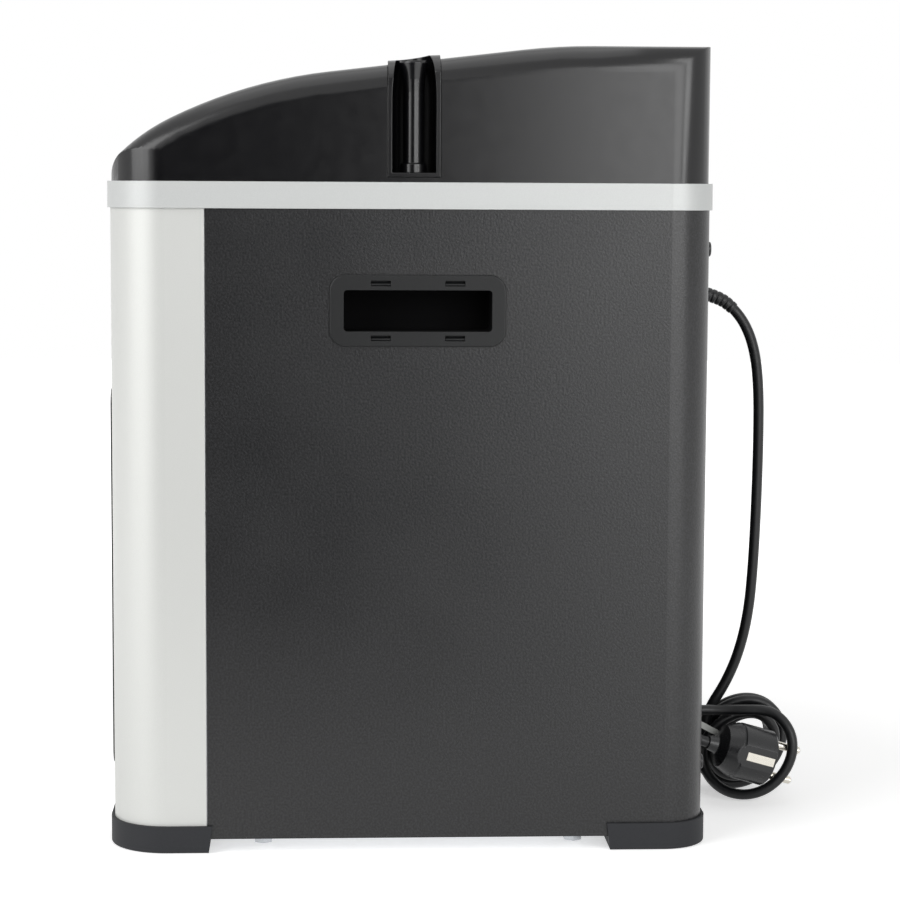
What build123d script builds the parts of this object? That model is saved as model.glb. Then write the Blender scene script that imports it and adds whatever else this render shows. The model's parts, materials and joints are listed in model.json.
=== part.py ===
from build123d import *
import math
import os

# Water chiller, free standing. Millimetres, +Z up, the front looks along -Y.
# The origin is on the floor, in the middle of the four feet.

# Casing outline
case_l = 335.0          # front to rear, over the panels
case_w = 240.0          # side to side, over the panels
front_r = 31.5          # upright front corners
rear_r = 24.0           # upright rear corners
sheet_t = 1.2           # front panel and wrapped panel
fit = 0.15              # gap between pieces that are put together by hand
snug = 0.02             # gap of pieces that are pressed together
run_gap = 0.05          # radial gap of a turning shaft or a key in its hole

# Levels of the casing
panel_bottom = 7.6      # lower edge of both panels
pan_bottom = 9.0        # underside of the base pan
pan_t = 1.2
pan_flange = 18.0       # upturned edge of the pan
seam_in = 53.5          # from the front to where the two panels meet
seam_gap = 0.4
strip_w = 22.0          # strip behind each seam

# Silver band
band_bottom = 359.9
band_h = 14.7
band_proud = 1.6
shelf_z = 6.6           # underside of the band's shelf, above its lower edge
shelf_t = 2.2
shelf_w = 9.0           # how far the shelf reaches in
skirt_t = 1.8           # inner skirt that grips the panels
skirt_drop = 2.0        # skirt below the band's lower edge

# Cover, as arcs that run up from the front: radius, and slope where each ends
cover_inset = 0.8       # from the casing outline
cover_t = 2.6
nose_z = 375.8          # top of the upright front
nose_r = 19.4
nose_end = 44.0
brow_r = 110.0
brow_end = 26.3
hood_r = 268.0
hood_end = 6.75
hood_run = 107.7        # straight stretch past the hood
crown_r = 340.0
edge_r = 15.0           # rounding between top and sides

# Hose bay in each side of the cover
port_y = 0.8
bay_mouth = 24.4
bay_t = 2.2
bay_reach = 11.0        # from the cover's side to the centre of the round end
bay_floor = 379.7
bay_proud_top = 2.2
bay_proud_side = 0.6

# Hose spigot
spigot_r = 5.8
spigot_bore_r = 4.0
spigot_top = 441.0
spigot_flare_r = 8.2
spigot_flare_h = 17.0
collar_r = 7.3
collar_h = 4.9
spigot_tail = 36.0      # below the bay floor
barb_r = 6.6
nut_af = 14.0
nut_h = 5.0

# Side grip
grip_y = 3.1
grip_z = 304.1
grip_l = 97.6
grip_h = 39.7
grip_corner = 9.0
grip_proud = 1.6
mouth_l = 82.0
mouth_h = 22.8
mouth_corner = 2.0
pocket_depth = 30.0
pocket_t = 1.8
snap_l = 11.0
snap_h = 3.0
snap_y = 20.5           # from the middle of the grip
snap_z = 15.1

# Feet
foot_l = 56.5           # along each side, from the foot's outer face
foot_proud = 2.0
foot_rim = 15.2
foot_lean = 2.0         # how much longer the foot is at the rim
foot_round = 1.2
foot_screw_in = 26.0    # from the casing outline
foot_screw_r = 2.5
foot_head_r = 4.6
foot_sink = 5.0

# Intake grille and filter
grille_side = 37.0      # from the casing's side to the grille
grille_h = 216.0
grille_z = 42.0
grille_corner = 10.0
grille_flange = 5.0
grille_lip = 1.3
grille_deep = 12.0
grille_wall = 2.4
slat_pitch = 9.0
slat_t = 1.8
slat_deep = 8.5
slat_tilt = 28.0
filter_t = 6.0
filter_corner = 4.0
slat_in = 0.6           # slats behind the grille's face
rib_w = 2.4
rib_in = 5.0

# Control panel in the hood
desk_slope = 20.0       # slope of the hood where the panel sits
desk_w = 128.0
desk_l = 46.0
desk_t = 3.0
desk_sunk = 1.7         # plate top under the hood's surface, at its middle
desk_corner = 5.0
tray_t = 2.4
ledge_w = 5.0
window_w = 72.0
window_l = 28.0
window_x = -24.0
window_t = 1.6
window_lip = 3.0
key_r = 4.6
key_x = (27.0, 39.5, 52.0)
key_proud = 0.8
key_flange_r = 5.7
key_flange_t = 1.0
key_travel = 0.8
board_w = 112.0
board_l = 32.0
board_t = 1.6
board_drop = 4.4        # under the plate
post_r = 2.2
post_x = (-51.0, 17.0)
post_y = 13.0
module_w = 58.0
module_l = 19.0
switch_w = 6.0

# Condenser
coil_h = 196.0
coil_d = 36.0
coil_in = 25.5          # from the front
coil_gap = 5.4          # from the tube's bends to the panel
coil_lift = 4.0         # above the pan floor
fin_t = 0.8
fin_pitch = 8.0
tube_r = 4.0
tube_rows = 6
tube_share = 0.27       # where the tubes lie in the depth
tube_out = 3.0          # straight ends outside the end plates

# Fan wall, fan and motor
plenum = 7.0            # behind the condenser
wall_t = 1.2
wall_side = 17.0        # from the casing's side
wall_foot = 12.0
wall_top = 330.0
duct_r = 78.0
duct_deep = 6.0
fan_r = 74.0
fan_z = 112.0
fan_gap = 5.0
hub_r = 24.0
hub_h = 20.0
blade_count = 5
blade_chord = 44.0
blade_t = 1.8
blade_tilt = 32.0
shaft_r = 2.5
motor_r = 30.0
motor_h = 38.0
motor_gap = 4.0
motor_round = 3.0
shaft_in = 26.6         # how far the shaft reaches into the motor
arm_w = 12.0
arm_t = 2.0
arm_out = 14.0          # outside the duct
blade_root = 6.0        # how far a blade reaches into the hub

# Compressor
side_room = 2.0         # beside the base pan's edge
comp_gap = 10.5         # behind the motor's bracket
comp_r = 54.0
comp_h = 132.0
comp_round = 22.0
seam_rim = 3.0
seam_rim_t = 4.0
seam_rim_z = 59.4
plate_corner = 10.0
socket_side = 20.0      # the pipe sockets, from the middle
socket_front = 14.0
socket_top = 6.0
socket_wall = 1.0
plate_w = 112.0
plate_l = 126.0
plate_t = 3.0
mount_r = 10.0
mount_h = 14.0
mount_in = 16.0
bolt_r = 4.0
bolt_head_r = 7.0
bolt_head_h = 5.0
bolt_foot = 3.0

# Water vessel
vessel_back = 5.0       # to the base pan's rear edge
vessel_r = 43.0
vessel_round = 4.0
vessel_h = 206.0
jacket_t = 7.0
jacket_foot_r = 40.0
jacket_foot_h = 11.0
lid_t = 6.0
stub_r = 5.8
stub_h = 24.0
stub_spread = 21.0
stub_front = 6.0
stub_bead = 0.7
stub_bead_h = 3.0
stub_bead_in = 8.0
copper_spread = 12.0
copper_back = 20.0
copper_h = 8.0
probe_front = 26.0
probe_r = 4.0
probe_h = 12.0
probe_tip_r = 2.0
probe_tip_h = 10.0
hose_r = 9.0
hose_bend = 14.0
hose_grip = 4.0         # how far a hose's lower end is from the lid
hose_over = 8.0         # how far it goes over the spigot's barb

# Copper pipes
pipe_r = 3.2
pipe_bend = 10.0
pipe_in = 8.0           # from the casing's side to the pipes beside the fan wall
pipe_rise = 30.0        # over the vessel's lid
pipe_drop = 34.0
feed_r = 1.9
drier_r = 10.0
drier_h = 80.0
drier_round = 6.0
drier_end = 8.0
drier_back = 60.0       # behind the fan wall
drier_lift = 14.0
drier_aside = 24.0

# Electrical box
box_w = 120.0
box_h = 92.0
box_d = 46.0
box_t = 2.0
box_z = 226.0
box_x = -22.0
board_in = 1.5          # from the box's inner side
ctrl_w = 56.0
ctrl_t = 5.0
ctrl_low = 6.0
relay_w = 26.0
relay_h = 26.0
relay_d = 24.0
relay_low = 42.0
strip_len = 34.0
strip_h = 18.0
strip_d = 18.0
strip_hole_r = 3.0
strip_hole_step = 11.0
strip_hole_deep = 9.0

# Rear of the casing
vent_w = 40.0
vent_h = 4.0
vent_pitch = 10.0
vent_rows = 17
vent_columns = 3
vent_step = 54.0
vent_z = 96.0
gland_z = 310.3
gland_flange_r = 8.0
gland_end = 7.0         # outside the panel
screw_r = 2.0
screw_head_r = 4.2
screw_head_h = 1.8
screw_l = 8.0
rear_screw_in = 28.0    # from the casing's side
rear_screw_z = (44.0, 338.0)

# Base bolts, seen under the sides
base_bolt_in = 12.0     # from the casing's side
base_bolt_front = 84.8  # from the front
base_bolt_rear = 74.7   # from the rear
base_bolt_up = 8.0      # above the pan floor
base_bolt_r = 3.0
base_bolt_af = 9.6
base_bolt_head = 4.4
washer_r = 7.0
washer_t = 1.3

# Mains cord: X, Y, Z of each corner of its route, from the gland to the coil
cord_r = 3.2
cord_route = [
    (0.0, 174.5, 310.3),
    (0.0, 187.0, 308.0),
    (0.4, 197.5, 301.2),
    (0.8, 206.3, 289.5),
    (0.8, 211.8, 273.0),
    (0.2, 214.3, 251.0),
    (-1.2, 214.9, 220.0),
    (-3.2, 214.7, 183.0),
    (-5.6, 213.9, 146.0),
    (-8.4, 212.1, 114.5),
    (-11.6, 207.3, 89.0),
    (-14.6, 199.6, 68.5),
    (-16.6, 189.4, 51.6),
]
tail_route = [
    (18.6, 183.7, 38.7),
    (19.7, 177.1, 40.7),
    (17.2, 172.4, 45.4),
    (12.2, 171.6, 50.2),
    (6.0, 173.0, 53.2),
    (0.8, 178.2, 54.5),
    (-1.2, 186.0, 54.4),
    (-0.9, 193.0, 54.3),
    (0.2, 200.4, 54.4),
    (2.0, 207.6, 54.9),
]
coil_y = 210.5
coil_z = 30.2
coil_long = 32.0        # half axes of the coil's outline
coil_short = 27.0
coil_lean = 45.0
coil_hole_long = 16.0
coil_hole_short = 12.5
coil_far = -38.0
coil_near = -4.0
loop_near = 18.0        # the nearest turn, which swings out in front of the pins
loop_t = 6.8
loop_start = 206.0
pin_room = 0.4
tie_angle = 152.0
tie_w = 3.6
tie_t = 0.8
tie_inner = 12.4        # from the coil's middle
tie_outer = 31.6

# Plug
plug_face = (12.0, 221.4, 27.0)
plug_yaw = 10.0
plug_dip = 17.0
plug_r = 17.0
plug_front = 22.0
plug_flat = 15.6
plug_cap = 12.0
neck_r = 5.4
neck_h = 6.0
pin_r = 2.4
pin_l = 19.0
pin_step = 19.0
clip_w = 5.0
clip_t = 0.9

# Worked out from the sizes above
shelf_bottom = band_bottom + shelf_z
shelf_top = shelf_bottom + shelf_t
band_top = band_bottom + band_h
panel_top = shelf_bottom - fit
pan_inset = sheet_t + fit
pan_floor = pan_bottom + pan_t
pan_top = pan_bottom + pan_flange
half_l = case_l / 2
half_w = case_w / 2
seam_y = seam_in - half_l
grille_w = case_w - 2 * grille_side
coil_front = coil_in - half_l
bend_span = math.hypot((1 - 2 * tube_share) * coil_d, coil_h / tube_rows)
coil_w = 2 * (half_w - sheet_t - coil_gap - tube_r - bend_span / 2 - tube_out)
wall_y = coil_front + coil_d + plenum
wall_w = case_w - 2 * wall_side
fan_start = wall_y + fan_gap
motor_start = fan_start + hub_h + motor_gap
motor_end = motor_start + motor_h
pan_side = half_w - pan_inset - pan_t
pan_rear = half_l - pan_inset - pan_t
comp_x = comp_r + seam_rim + side_room - pan_side
comp_y = motor_end + arm_t + comp_gap + comp_r
comp_low = pan_floor + mount_h + snug
vessel_x = pan_side - side_room - jacket_t - vessel_r
vessel_y = pan_rear - vessel_back - jacket_t - vessel_r
vessel_low = pan_floor + jacket_t
lid_low = vessel_low + vessel_h + 2 * snug
lid_top = lid_low + lid_t
pipe_aside = half_w - pipe_in
rear_screw_x = half_w - rear_screw_in
base_bolt_x = half_w - base_bolt_in
base_bolt_y = (base_bolt_front - half_l, half_l - base_bolt_rear)
cover_side = half_w - cover_inset
bay_x = cover_side - bay_reach


def outline(inset):
    """The casing's plan, drawn in by inset, as a face."""
    face = Rectangle(case_w - 2 * inset, case_l - 2 * inset)
    face = fillet(face.vertices().sort_by(Axis.Y)[:2], front_r - inset)
    return fillet(face.vertices().sort_by(Axis.Y)[-2:], rear_r - inset)


def prism(inset, bottom, top):
    return extrude(Pos(0, 0, bottom) * outline(inset), top - bottom)


def ring(outer, inner, bottom, top):
    return prism(outer, bottom, top) - prism(inner, bottom, top)


def block(low, high):
    """A box between two corners."""
    size = [b - a for a, b in zip(low, high)]
    middle = [(a + b) / 2 for a, b in zip(low, high)]
    return Pos(*middle) * Box(*size)


def post(radius, bottom, top, x=0, y=0):
    return Pos(x, y, (bottom + top) / 2) * Cylinder(radius, top - bottom)


def rod_y(radius, start, end, x, z):
    """A cylinder along Y."""
    return Pos(x, (start + end) / 2, z) * Rot(90, 0, 0) * Cylinder(radius, end - start)


def turned(points):
    """A solid of revolution about Z from radius and height pairs."""
    outline_pts = [(r, 0, z) for r, z in points]
    return revolve(make_face(Polyline(*outline_pts, close=True)), Axis.Z)


def mirrored(shape):
    return mirror(shape, Plane.YZ)


def round_plate(width, height, corner, thick):
    return extrude(RectangleRounded(width, height, corner), thick)


def tube(route, radius, corners, bore=0):
    """A pipe along straight runs joined by tangent arcs."""
    path = FilletPolyline(*route, radius=corners)
    start = Plane(origin=path @ 0, z_dir=path % 0)
    section = Circle(radius) - Circle(bore) if bore else Circle(radius)
    return sweep(start * section, path=path)


def hood_walk():
    """Points along the cover's side outline with the slope at each, and each arc's radius."""
    y, z = -half_l + cover_inset, nose_z
    legs = []
    slope = 90.0
    for radius, end in ((nose_r, nose_end), (brow_r, brow_end), (hood_r, hood_end)):
        legs.append((y, z, radius, slope, end))
        y, z = arc_point(y, z, radius, slope, end)
        slope = end
    legs.append((y, z, 0, slope, slope))
    y += hood_run * math.cos(math.radians(slope))
    z += hood_run * math.sin(math.radians(slope))
    legs.append((y, z, crown_r, slope, 0.0))
    return legs, arc_point(y, z, crown_r, slope, 0.0)


def arc_point(y, z, radius, slope, at):
    """Where an arc that starts at y, z with one slope has another."""
    start, end = math.radians(slope), math.radians(at)
    return (y + radius * (math.sin(start) - math.sin(end)),
            z + radius * (math.cos(end) - math.cos(start)))


def hood(draw_in, bottom):
    """Everything under the cover's side outline, drawn in by draw_in."""
    legs, (crown_y, crown_z) = hood_walk()

    def inward(y, z, slope):
        angle = math.radians(slope)
        return (y + draw_in * math.sin(angle), z - draw_in * math.cos(angle))

    front, rear = -half_l + cover_inset + draw_in, half_l - cover_inset - draw_in
    lines = [Line((front, bottom), inward(*legs[0][:2], 90.0))]
    for k, (y, z, radius, slope, end) in enumerate(legs):
        last = legs[k + 1][:2] if k + 1 < len(legs) else (crown_y, crown_z)
        first, final = inward(y, z, slope), inward(*last, end)
        if radius:
            middle = (slope + end) / 2
            via = inward(*arc_point(y, z, radius, slope, middle), middle)
            lines.append(ThreePointArc(first, via, final))
        else:
            lines.append(Line(first, final))
    top = crown_z - draw_in
    lines.append(Polyline((crown_y, top), (rear, top), (rear, bottom), (front, bottom)))
    body = extrude(Plane.YZ * make_face(lines), cover_side - draw_in, both=True)
    upper = body.edges().filter_by(lambda e: abs(abs(e.center().X) - cover_side + draw_in) < 0.01
                                   and e.center().Z > bottom + 0.1
                                   and abs(e.center().Y - rear) > 0.1)
    return fillet(upper, edge_r - draw_in)


def bay_column(grow, bottom):
    """The hose bay's upright space on the +X side: round inside, open to the side."""
    radius = bay_mouth / 2 + grow
    tall = spigot_top + 30 - bottom
    column = post(radius, bottom, bottom + tall, bay_x, port_y)
    front, rear = port_y - radius, port_y + radius
    return column + block((bay_x, front, bottom), (half_w + 5, rear, bottom + tall))


def desk_plane():
    """Plane of the hood's surface at the middle of the control panel, local Y up the slope."""
    legs, _ = hood_walk()
    y, z, radius, slope, _ = legs[2]
    at_y, at_z = arc_point(y, z, radius, slope, desk_slope)
    tilt = math.radians(desk_slope)
    return Plane(origin=(0, at_y, at_z), x_dir=(1, 0, 0), z_dir=(0, -math.sin(tilt), math.cos(tilt)))


def desk_box(width, length, upper, lower, x=0, y=0):
    """A box on the control panel's plane between two depths under the hood's surface."""
    return desk_plane() * Pos(x, y, -(upper + lower) / 2) * Box(width, length, lower - upper)


def desk_post(radius, upper, lower, x, y=0):
    return desk_plane() * Pos(x, y, -(upper + lower) / 2) * Cylinder(radius, lower - upper)


# Casing

def make_base_pan():
    pan = prism(pan_inset, pan_bottom, pan_top) - prism(pan_inset + pan_t, pan_floor, pan_top)
    for x, y in base_bolt_places():
        pan -= post(base_bolt_r + fit, pan_bottom - 1, pan_floor + 1, x, y)
    for x, y in foot_screw_places():
        pan -= post(foot_screw_r + fit, pan_bottom - 1, pan_floor + 1, x, y)
    for x, y in mount_places():
        pan -= post(bolt_r + fit, pan_bottom - 1, pan_floor + 1, x, y)
    return pan


def base_bolt_places():
    return [(x, y) for x in (-base_bolt_x, base_bolt_x) for y in base_bolt_y]


def foot_screw_places():
    x, y = half_w - foot_screw_in, half_l - foot_screw_in
    return [(sx * x, sy * y) for sx in (-1, 1) for sy in (-1, 1)]


def make_foot(side, end):
    """A corner foot: a pad under the casing and a rim round its corner."""
    pad = prism(-foot_proud, 0, foot_rim)
    bottom_edges = pad.edges().group_by(Axis.Z)[0]
    pad = fillet(bottom_edges, foot_round)
    pad -= prism(-fit, panel_bottom - fit, foot_rim + 1)
    pad += prism(pan_inset, panel_bottom - 2, pan_bottom)
    out_x, out_y = half_w + foot_proud, half_l + foot_proud

    def wedge(outer):
        top = foot_rim + 1
        inner = outer - foot_l - foot_lean * top / foot_rim
        return Polyline((outer + 1, 0), (outer - foot_l, 0), (inner, top), (outer + 1, top), close=True)

    along_y = extrude(Plane.YZ * make_face(wedge(out_y)), case_w, both=True)
    along_x = extrude(Plane.XZ * make_face(wedge(out_x)), case_l, both=True)
    if end < 0:
        along_y = mirror(along_y, Plane.XZ)
    if side < 0:
        along_x = mirror(along_x, Plane.YZ)
    foot = pad & along_y & along_x
    x, y = side * (half_w - foot_screw_in), end * (half_l - foot_screw_in)
    foot -= post(foot_head_r + fit, -1, foot_sink, x, y)
    return foot - post(foot_screw_r + fit, -1, foot_rim, x, y)


def make_foot_screws():
    screws = []
    for x, y in foot_screw_places():
        head = post(foot_head_r, foot_sink - 2.4, foot_sink, x, y)
        screws.append(head + post(foot_screw_r, foot_sink, pan_floor + 4, x, y))
    return Compound(screws)


def make_front_panel():
    shell = ring(0, sheet_t, panel_bottom, panel_top)
    shell &= block((-case_w, -case_l, 0), (case_w, seam_y - seam_gap / 2, band_top))
    opening = grille_place() * round_plate(grille_w - 2 * grille_flange, grille_h - 2 * grille_flange,
                                           grille_corner - grille_flange / 2, 20)
    return shell - Pos(0, -5, 0) * opening


def make_wrap_panel():
    shell = ring(0, sheet_t, panel_bottom, panel_top)
    shell &= block((-case_w, seam_y + seam_gap / 2, 0), (case_w, case_l, band_top))
    pocket = grip_place() * Pos(0, 0, -10) * round_plate(mouth_l + 2 * pocket_t + 2 * fit,
                                                         2 * snap_z + snap_h + 8 * fit, mouth_corner, 20)
    shell -= pocket
    shell -= mirrored(pocket)
    slots = []
    for column in range(vent_columns):
        x = (column - (vent_columns - 1) / 2) * vent_step
        for row in range(vent_rows):
            z = vent_z + row * vent_pitch
            slot = Plane.XZ * Pos(x, z, 0) * SlotOverall(vent_w, vent_h)
            slots.append(Pos(0, half_l, 0) * extrude(slot, sheet_t + 5, both=True))
    shell -= slots
    shell -= rod_y(gland_bush_r() + fit, half_l - 5, half_l + 5, 0, gland_z)
    for x, z in rear_screw_places():
        shell -= rod_y(screw_r + fit, half_l - 5, half_l + 5, x, z)
    return shell


def make_seam_strip(side):
    strip = ring(sheet_t, sheet_t * 2, pan_top + 2 * fit, band_bottom - skirt_drop - 2 * fit)
    strip &= block((0, seam_y - strip_w / 2, 0), (case_w, seam_y + strip_w / 2, band_top))
    return strip if side > 0 else mirrored(strip)


def make_band():
    band = ring(-band_proud, -fit, band_bottom, shelf_bottom)
    band += ring(-band_proud, shelf_w, shelf_bottom, shelf_top)
    band += ring(-band_proud, cover_inset - fit, shelf_top, band_top)
    grip = sheet_t + fit
    band += ring(grip, grip + skirt_t, band_bottom - skirt_drop, shelf_bottom)
    for side in (-1, 1):
        band -= post(spigot_r + 4 * fit, shelf_bottom - 1, shelf_top + 1, side * bay_x, port_y)
    return band


def make_cover():
    outer = prism(cover_inset, shelf_top, spigot_top + 60) & hood(0, shelf_top - 1)
    inner = prism(cover_inset + cover_t, shelf_top - 1, spigot_top + 60) & hood(cover_t, shelf_top - 2)
    floor = desk_sunk + desk_t
    tray = desk_box(desk_w + 2 * tray_t, desk_l + 2 * tray_t, 0, floor + tray_t)
    cover = outer - inner + (outer & tray)
    recess = round_plate(desk_w + 2 * fit, desk_l + 2 * fit, desk_corner, floor + 10)
    cover -= desk_plane() * Pos(0, 0, -floor) * recess
    cover -= desk_box(desk_w - 2 * ledge_w, desk_l - 2 * ledge_w, 0, floor + tray_t + 1)
    space = bay_column(bay_t + fit, bay_floor - bay_t - fit)
    return cover - space - mirrored(space)


def make_bay(side):
    """Moulded bay that lines the cut in the cover's side and stands a little proud of it."""
    envelope = prism(cover_inset - bay_proud_side, bay_floor - bay_t, spigot_top + 60)
    envelope &= hood(-bay_proud_top, shelf_top)
    bay = envelope & bay_column(bay_t, bay_floor - bay_t)
    bay -= bay_column(0, bay_floor)
    bay -= post(spigot_r + fit, bay_floor - 5, bay_floor + 5, bay_x, port_y)
    return bay if side > 0 else mirrored(bay)


def make_spigot(side):
    """Upright hose spigot with a flared mouth above the bay floor and a barb below it."""
    low = bay_floor - spigot_tail
    flare_z = spigot_top - spigot_flare_h
    neck_z = low + 8.0
    wall = [
        (spigot_bore_r, low), (spigot_r - 0.8, low), (barb_r, low + 4.0), (spigot_r, low + 4.4),
        (spigot_r, neck_z), (spigot_r, bay_floor + fit), (collar_r, bay_floor + fit),
        (collar_r, bay_floor + collar_h), (spigot_r, bay_floor + collar_h + 0.6),
        (spigot_r, flare_z), (spigot_r + 0.5, flare_z + spigot_flare_h * 0.4),
        (spigot_flare_r, spigot_top - 1.2), (spigot_flare_r - 0.5, spigot_top),
        (spigot_flare_r - 1.8, spigot_top), (spigot_bore_r, flare_z + spigot_flare_h * 0.3),
    ]
    body = Pos(bay_x, port_y, 0) * turned(wall)
    return body if side > 0 else mirrored(body)


def make_port_nuts():
    top = bay_floor - bay_t - snug
    nut = extrude(RegularPolygon(nut_af / 2, 6, major_radius=False), nut_h)
    nut = Pos(bay_x, port_y, top - nut_h) * nut
    nut -= post(spigot_r + snug, top - nut_h - 1, top + 1, bay_x, port_y)
    return Compound([nut, mirrored(nut)])


# Side grips

def grip_place():
    """Plane on the casing's +X side at the middle of the grip, local X to the rear, local Z outward."""
    return Plane(origin=(half_w, grip_y, grip_z), x_dir=(0, 1, 0), z_dir=(1, 0, 0))


def make_grip(side):
    place = grip_place()
    bezel = place * Pos(0, 0, fit) * round_plate(grip_l, grip_h, grip_corner, grip_proud - fit)
    rim = bezel.edges().group_by(Axis.X)[-1]
    bezel = fillet(rim, 0.9)
    cup = place * Pos(0, 0, -pocket_depth) * round_plate(mouth_l + 2 * pocket_t, mouth_h + 2 * pocket_t,
                                                         mouth_corner, pocket_depth + 1)
    grip = bezel + cup
    mouth = round_plate(mouth_l, mouth_h, mouth_corner, pocket_depth + 5)
    grip -= place * Pos(0, 0, pocket_t - pocket_depth) * mouth
    for y in (-snap_y, snap_y):
        for z in (-snap_z, snap_z):
            grip -= place * Pos(y, z, 0) * Box(snap_l, snap_h, 10)
    return grip if side > 0 else mirrored(grip)


# Intake

def grille_place():
    """Plane on the casing's front at the middle of the grille, local Z inward."""
    return Plane(origin=(0, -half_l, grille_z + grille_h / 2), x_dir=(1, 0, 0), z_dir=(0, 1, 0))


def make_grille():
    place = grille_place()
    face_y = -half_l - grille_lip
    inner_w = grille_w - 2 * grille_flange - 2 * fit
    inner_h = grille_h - 2 * grille_flange - 2 * fit
    corner = grille_corner - grille_flange / 2
    flange = round_plate(grille_w, grille_h, grille_corner, grille_lip - fit)
    flange = place * Pos(0, 0, -grille_lip) * flange
    collar = place * Pos(0, 0, -grille_lip) * round_plate(inner_w, inner_h, corner, grille_deep)
    frame = flange + collar
    frame -= place * Pos(0, 0, -5) * round_plate(inner_w - 2 * grille_wall, inner_h - 2 * grille_wall,
                                                 corner - grille_wall, grille_deep + 10)
    count = int((inner_h - 2 * grille_wall) / slat_pitch)
    first = grille_z + grille_h / 2 - (count - 1) / 2 * slat_pitch
    slats = []
    for k in range(count):
        slat = Rot(slat_tilt, 0, 0) * Box(inner_w - grille_wall, slat_deep, slat_t)
        slats.append(Pos(0, face_y + slat_in + slat_deep / 2, first + k * slat_pitch) * slat)
    rib_low, rib_high = grille_z + grille_flange + 1, grille_z + grille_h - grille_flange - 1
    rib = block((-rib_w / 2, face_y + rib_in, rib_low), (rib_w / 2, face_y + grille_deep, rib_high))
    return frame + slats + rib


def make_filter():
    inner_w = grille_w - 2 * grille_flange - 2 * grille_wall - 4 * fit
    inner_h = grille_h - 2 * grille_flange - 2 * grille_wall - 4 * fit
    place = grille_place()
    pad = round_plate(inner_w, inner_h, filter_corner, filter_t)
    return place * Pos(0, 0, grille_deep - grille_lip + fit) * pad


# Control panel

def make_desk():
    """Plate of the control panel, with a window seat, key holes and posts for the board."""
    depth = desk_sunk + desk_t
    plate = desk_plane() * Pos(0, 0, -depth) * round_plate(desk_w, desk_l, desk_corner, desk_t)
    plate -= desk_box(window_w + 2 * fit, window_l + 2 * fit, 0, desk_sunk + window_t, window_x)
    plate -= desk_box(window_w - 2 * window_lip, window_l - 2 * window_lip, 0, depth + 1, window_x)
    for x in key_x:
        plate -= desk_post(key_r + run_gap, 0, depth + 1, x)
    for x in post_x:
        for y in (-post_y, post_y):
            plate += desk_post(post_r, depth, depth + board_drop, x, y)
    return plate


def make_window():
    return desk_box(window_w, window_l, desk_sunk, desk_sunk + window_t - snug, window_x)


def make_key(x):
    top = desk_sunk - key_proud
    under = desk_sunk + desk_t + run_gap
    key = desk_post(key_r, top, under, x)
    key = fillet(key.edges().filter_by(GeomType.CIRCLE).sort_by(Axis.Z)[-1], 0.4)
    return key + desk_post(key_flange_r, under, under + key_flange_t, x)


def board_top():
    return desk_sunk + desk_t + board_drop + snug


def make_board():
    """Circuit board with the soldered figure display and one small switch under each key."""
    board = desk_box(board_w, board_l, board_top(), board_top() + board_t)
    board += desk_box(module_w, module_l, desk_sunk + desk_t - 0.4, board_top() + 0.5, window_x)
    switch_top = desk_sunk + desk_t + run_gap + key_flange_t + key_travel + fit
    for x in key_x:
        board += desk_box(switch_w, switch_w, switch_top, board_top() + 0.5, x)
    return board


# Air path

def tube_places():
    """Y and Z of the condenser's straight tubes, two rows deep."""
    step = coil_h / tube_rows
    low = pan_floor + coil_lift + step / 2
    shares = (tube_share, 1 - tube_share)
    return [(coil_front + coil_d * s, low + step * row) for row in range(tube_rows) for s in shares]


def make_fins():
    fins = []
    count = int(coil_w / fin_pitch) + 1
    first = -(count - 1) / 2 * fin_pitch
    low, high = pan_floor + snug, pan_floor + coil_lift + coil_h
    for k in range(count):
        end = k in (0, count - 1)
        x = first + k * fin_pitch
        bottom = low if end else low + coil_lift
        fin = block((x - fin_t / 2, coil_front, bottom), (x + fin_t / 2, coil_front + coil_d, high))
        for y, z in tube_places():
            fin -= Pos(x, y, z) * Rot(0, 90, 0) * Cylinder(tube_r + snug, fin_t * 4)
        fins.append(fin)
    return Compound(fins)


def make_condenser_tube():
    """Straight tubes through the fins, joined by bends outside the end plates."""
    reach = coil_w / 2 + tube_out
    pieces = []
    places = tube_places()
    for y, z in places:
        pieces.append(Pos(0, y, z) * Rot(0, 90, 0) * Cylinder(tube_r, 2 * reach))
    for k in range(len(places) - 1):
        (y0, z0), (y1, z1) = places[k], places[k + 1]
        side = 1 if k % 2 == 0 else -1
        middle = Vector(side * reach, (y0 + y1) / 2, (z0 + z1) / 2)
        across = Vector(0, y1 - y0, z1 - z0) / 2
        out = Vector(side * across.length, 0, 0)
        path = ThreePointArc(middle - across, middle + out, middle + across)
        pieces.append(sweep(Plane(origin=path @ 0, z_dir=path % 0) * Circle(tube_r), path=path))
    whole = pieces[0]
    for piece in pieces[1:]:
        whole += piece
    return whole


def make_fan_wall():
    low = pan_floor + snug
    wall = block((-wall_w / 2, wall_y - wall_t, low), (wall_w / 2, wall_y, wall_top))
    wall += block((-wall_w / 2, wall_y - wall_t, low), (wall_w / 2, wall_y + wall_foot, low + wall_t))
    wall += rod_y(duct_r + wall_t, wall_y - duct_deep, wall_y, 0, fan_z)
    wall -= rod_y(duct_r, wall_y - duct_deep - 1, wall_y + 1, 0, fan_z)
    cheek = block((coil_w / 2 - 1, coil_front + coil_d + snug, low), (coil_w / 2 + 1, wall_y, low + coil_h))
    return wall + cheek + mirrored(cheek)


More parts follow.
